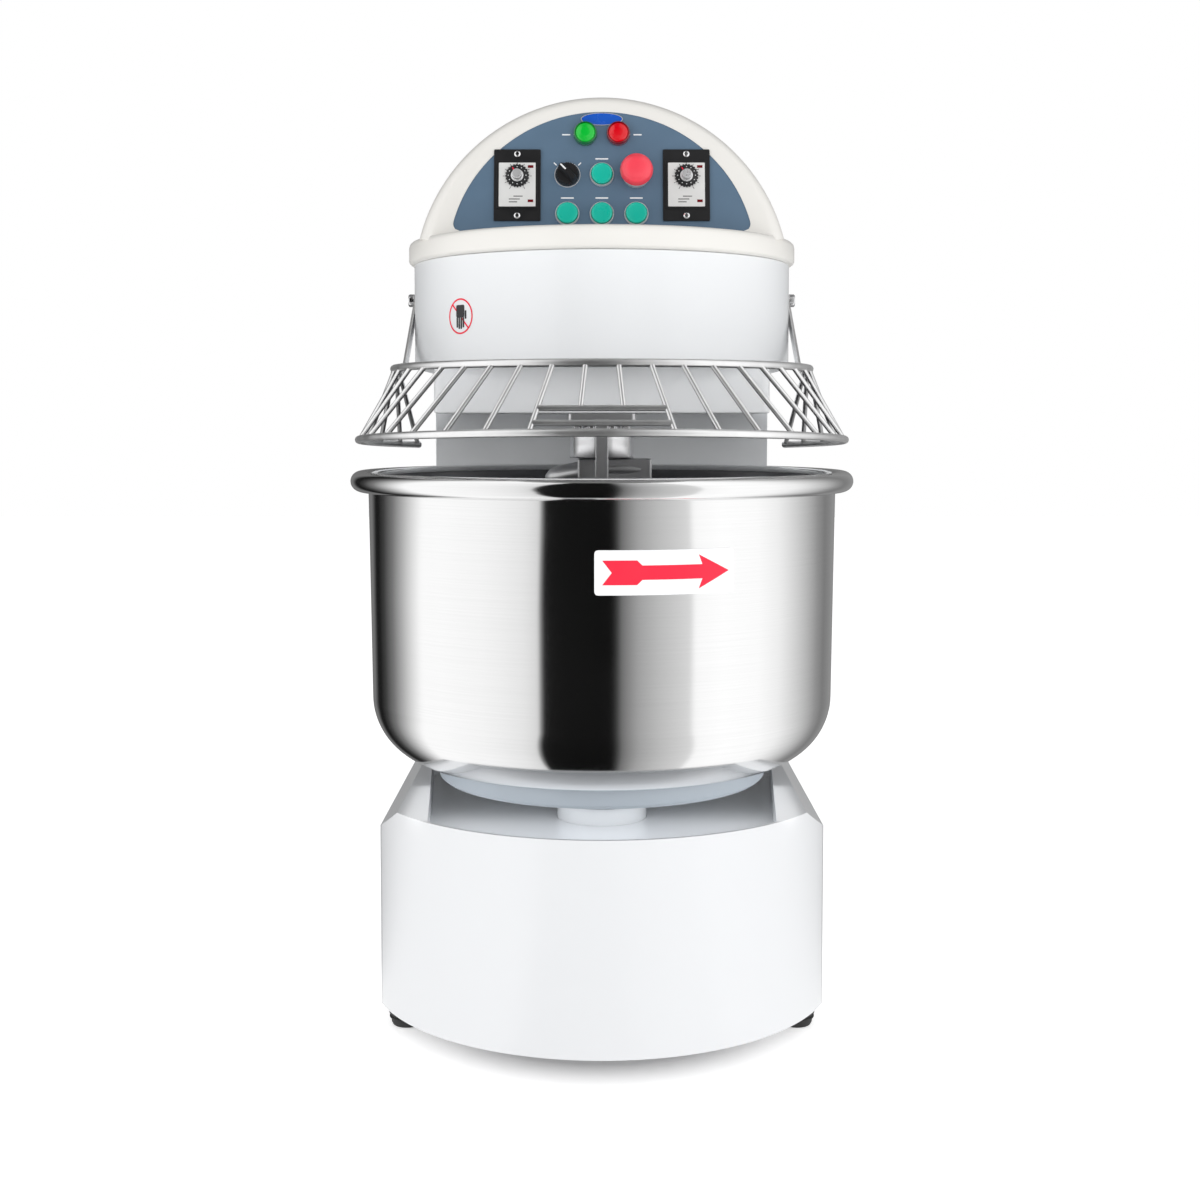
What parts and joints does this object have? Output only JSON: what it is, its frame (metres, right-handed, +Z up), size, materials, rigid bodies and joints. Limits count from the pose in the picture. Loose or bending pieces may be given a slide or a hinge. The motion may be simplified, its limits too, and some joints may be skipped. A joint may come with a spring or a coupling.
{
  "type": "spiral dough mixer",
  "caption": "Free-standing spiral dough mixer with a turning bowl, spiral hook, breaker bar, lifting wire guard and a dome-shaped control panel.",
  "frame": {"origin": "on the floor, under the middle of the bounding box", "axes": "+Z up, front with the bowl and control panel towards -Y, +X to the right seen from the front"},
  "size_m": [0.54, 0.87, 1],
  "materials": {
    "white_paint": "smooth gloss white powder coat",
    "cover_moulding": "warm white moulded cover with a soft gloss",
    "panel_blue": "satin slate-blue overlay",
    "bowl_steel": "brushed stainless steel, horizontal grain, bright rolled rim",
    "tool_steel": "polished and fine-ground stainless steel",
    "wire_steel": "electropolished stainless wire, welded",
    "chrome": "bright chrome trim",
    "cast": "grey machine enamel over castings",
    "black_plastic": "fine-grained black plastic",
    "black_rubber": "matt black rubber",
    "teal_plastic": "glossy teal button caps",
    "green_lens": "green moulded lens",
    "red_lens": "red moulded lens",
    "estop_red": "glossy red mushroom cap"
  },
  "bodies": {
    "frame": {"base_shell": "white_paint", "column_shell": "white_paint", "column_rear_cover": "white_paint", "head_shell": "white_paint", "head_underside_plate": "white_paint", "spiral_housing": "white_paint", "bowl_bearing_housing": "white_paint", "top_cover": "cover_moulding", "control_panel": "panel_blue", "spiral_bearing_cover": "tool_steel", "breaker_bar": "tool_steel", "base_floor_plate": "tool_steel", "start_button_bezel": "chrome", "fast_button_bezel": "chrome", "slow_button_bezel": "chrome", "inching_button_bezel": "chrome", "run_lamp_bezel": "chrome", "power_lamp_bezel": "chrome", "estop_bezel": "chrome", "guard_pivot_left": "chrome", "guard_pivot_right": "chrome", "bowl_gearbox": "cast", "motor": "cast", "column_foot_skirt": "black_plastic", "timer_left_frame": "black_plastic", "timer_right_frame": "black_plastic", "cable_gland": "black_plastic", "foot_front_left": "black_rubber", "foot_front_right": "black_rubber", "foot_rear_left": "black_rubber", "foot_rear_right": "black_rubber", "upper_belt": "black_rubber", "lower_belt": "black_rubber", "bowl_chain": "black_rubber", "run_lamp_lens": "green_lens", "power_lamp_lens": "red_lens"},
    "bowl_assembly": {"bowl": "bowl_steel", "bowl_carrier": "white_paint", "bowl_shaft": "tool_steel", "bowl_wheel": "cast"},
    "spiral_assembly": {"spiral_hook": "tool_steel", "spiral_shaft": "tool_steel", "spiral_pulley": "cast"},
    "jackshaft_assembly": {"jackshaft": "tool_steel", "jackshaft_lower_pulley": "cast", "jackshaft_upper_pulley": "cast"},
    "motor_rotor": {"motor_pulley": "cast"},
    "gearbox_output": {"gearbox_sprocket": "cast"},
    "guard_assembly": {"guard": "wire_steel", "guard_arm_left": "wire_steel", "guard_arm_right": "wire_steel"},
    "start_push": {"start_button": "teal_plastic"},
    "fast_push": {"fast_button": "teal_plastic"},
    "slow_push": {"slow_button": "teal_plastic"},
    "inching_push": {"inching_button": "teal_plastic"},
    "estop_plunger": {"estop_stem": "black_plastic"},
    "estop_head": {"estop_cap": "estop_red"},
    "selector": {"selector_knob": "black_plastic"},
    "timer_left_dial": {"timer_left_knob": "chrome"},
    "timer_right_dial": {"timer_right_knob": "chrome"}
  },
  "joints": [
    {"name": "spiral_spin", "type": "hinge", "parent": "frame", "child": "spiral_assembly", "pos_m": [0, -0.038, 0], "axis": [0, 0, 1], "continuous": true},
    {"name": "bowl_spin", "type": "hinge", "parent": "frame", "child": "bowl_assembly", "pos_m": [0, -0.165, 0], "axis": [0, 0, 1], "continuous": true},
    {"name": "jackshaft_spin", "type": "hinge", "parent": "frame", "child": "jackshaft_assembly", "pos_m": [0, 0.165, 0], "axis": [0, 0, 1], "continuous": true},
    {"name": "motor_spin", "type": "hinge", "parent": "frame", "child": "motor_rotor", "pos_m": [0, 0.322, 0], "axis": [0, 0, 1], "continuous": true},
    {"name": "gearbox_spin", "type": "hinge", "parent": "frame", "child": "gearbox_output", "pos_m": [0, 0.07, 0], "axis": [0, 0, 1], "continuous": true},
    {"name": "guard_lift", "type": "hinge", "parent": "frame", "child": "guard_assembly", "pos_m": [0, -0.015, 0.785], "axis": [-1, 0, 0], "range_deg": [0, 50]},
    {"name": "start_press", "type": "slide", "parent": "frame", "child": "start_push", "axis": [0, 0.9848, -0.1736], "range_m": [0, 0.004], "stiffness_N_per_m": 500, "springref_m": -0.0006},
    {"name": "fast_press", "type": "slide", "parent": "frame", "child": "fast_push", "axis": [0, 0.9848, -0.1736], "range_m": [0, 0.004], "stiffness_N_per_m": 500, "springref_m": -0.0006},
    {"name": "slow_press", "type": "slide", "parent": "frame", "child": "slow_push", "axis": [0, 0.9848, -0.1736], "range_m": [0, 0.004], "stiffness_N_per_m": 500, "springref_m": -0.0006},
    {"name": "inching_press", "type": "slide", "parent": "frame", "child": "inching_push", "axis": [0, 0.9848, -0.1736], "range_m": [0, 0.004], "stiffness_N_per_m": 500, "springref_m": -0.0006},
    {"name": "estop_press", "type": "slide", "parent": "frame", "child": "estop_plunger", "axis": [0, 0.9848, -0.1736], "range_m": [0, 0.005], "stiffness_N_per_m": 800, "springref_m": -0.0006},
    {"name": "estop_twist", "type": "hinge", "parent": "estop_plunger", "child": "estop_head", "pos_m": [0.0375, -0.13829, 0.9123], "axis": [0, 0.9848, -0.1736], "range_deg": [0, 40], "stiffness_Nm_per_rad": 0.02},
    {"name": "selector_turn", "type": "hinge", "parent": "frame", "child": "selector", "pos_m": [-0.0375, -0.13829, 0.9123], "axis": [0, 0.9848, -0.1736], "range_deg": [0, 90]},
    {"name": "timer_left_turn", "type": "hinge", "parent": "frame", "child": "timer_left_dial", "pos_m": [-0.092, -0.13864, 0.91033], "axis": [0, 0.9848, -0.1736], "range_deg": [0, 300]},
    {"name": "timer_right_turn", "type": "hinge", "parent": "frame", "child": "timer_right_dial", "pos_m": [0.092, -0.13864, 0.91033], "axis": [0, 0.9848, -0.1736], "range_deg": [0, 300]}
  ],
  "couplings": [
    {"joint": "bowl_spin", "follows": "spiral_spin", "ratio": 0.1},
    {"joint": "jackshaft_spin", "follows": "spiral_spin", "ratio": 2},
    {"joint": "motor_spin", "follows": "spiral_spin", "ratio": 6},
    {"joint": "gearbox_spin", "follows": "spiral_spin", "ratio": 0.275}
  ]
}
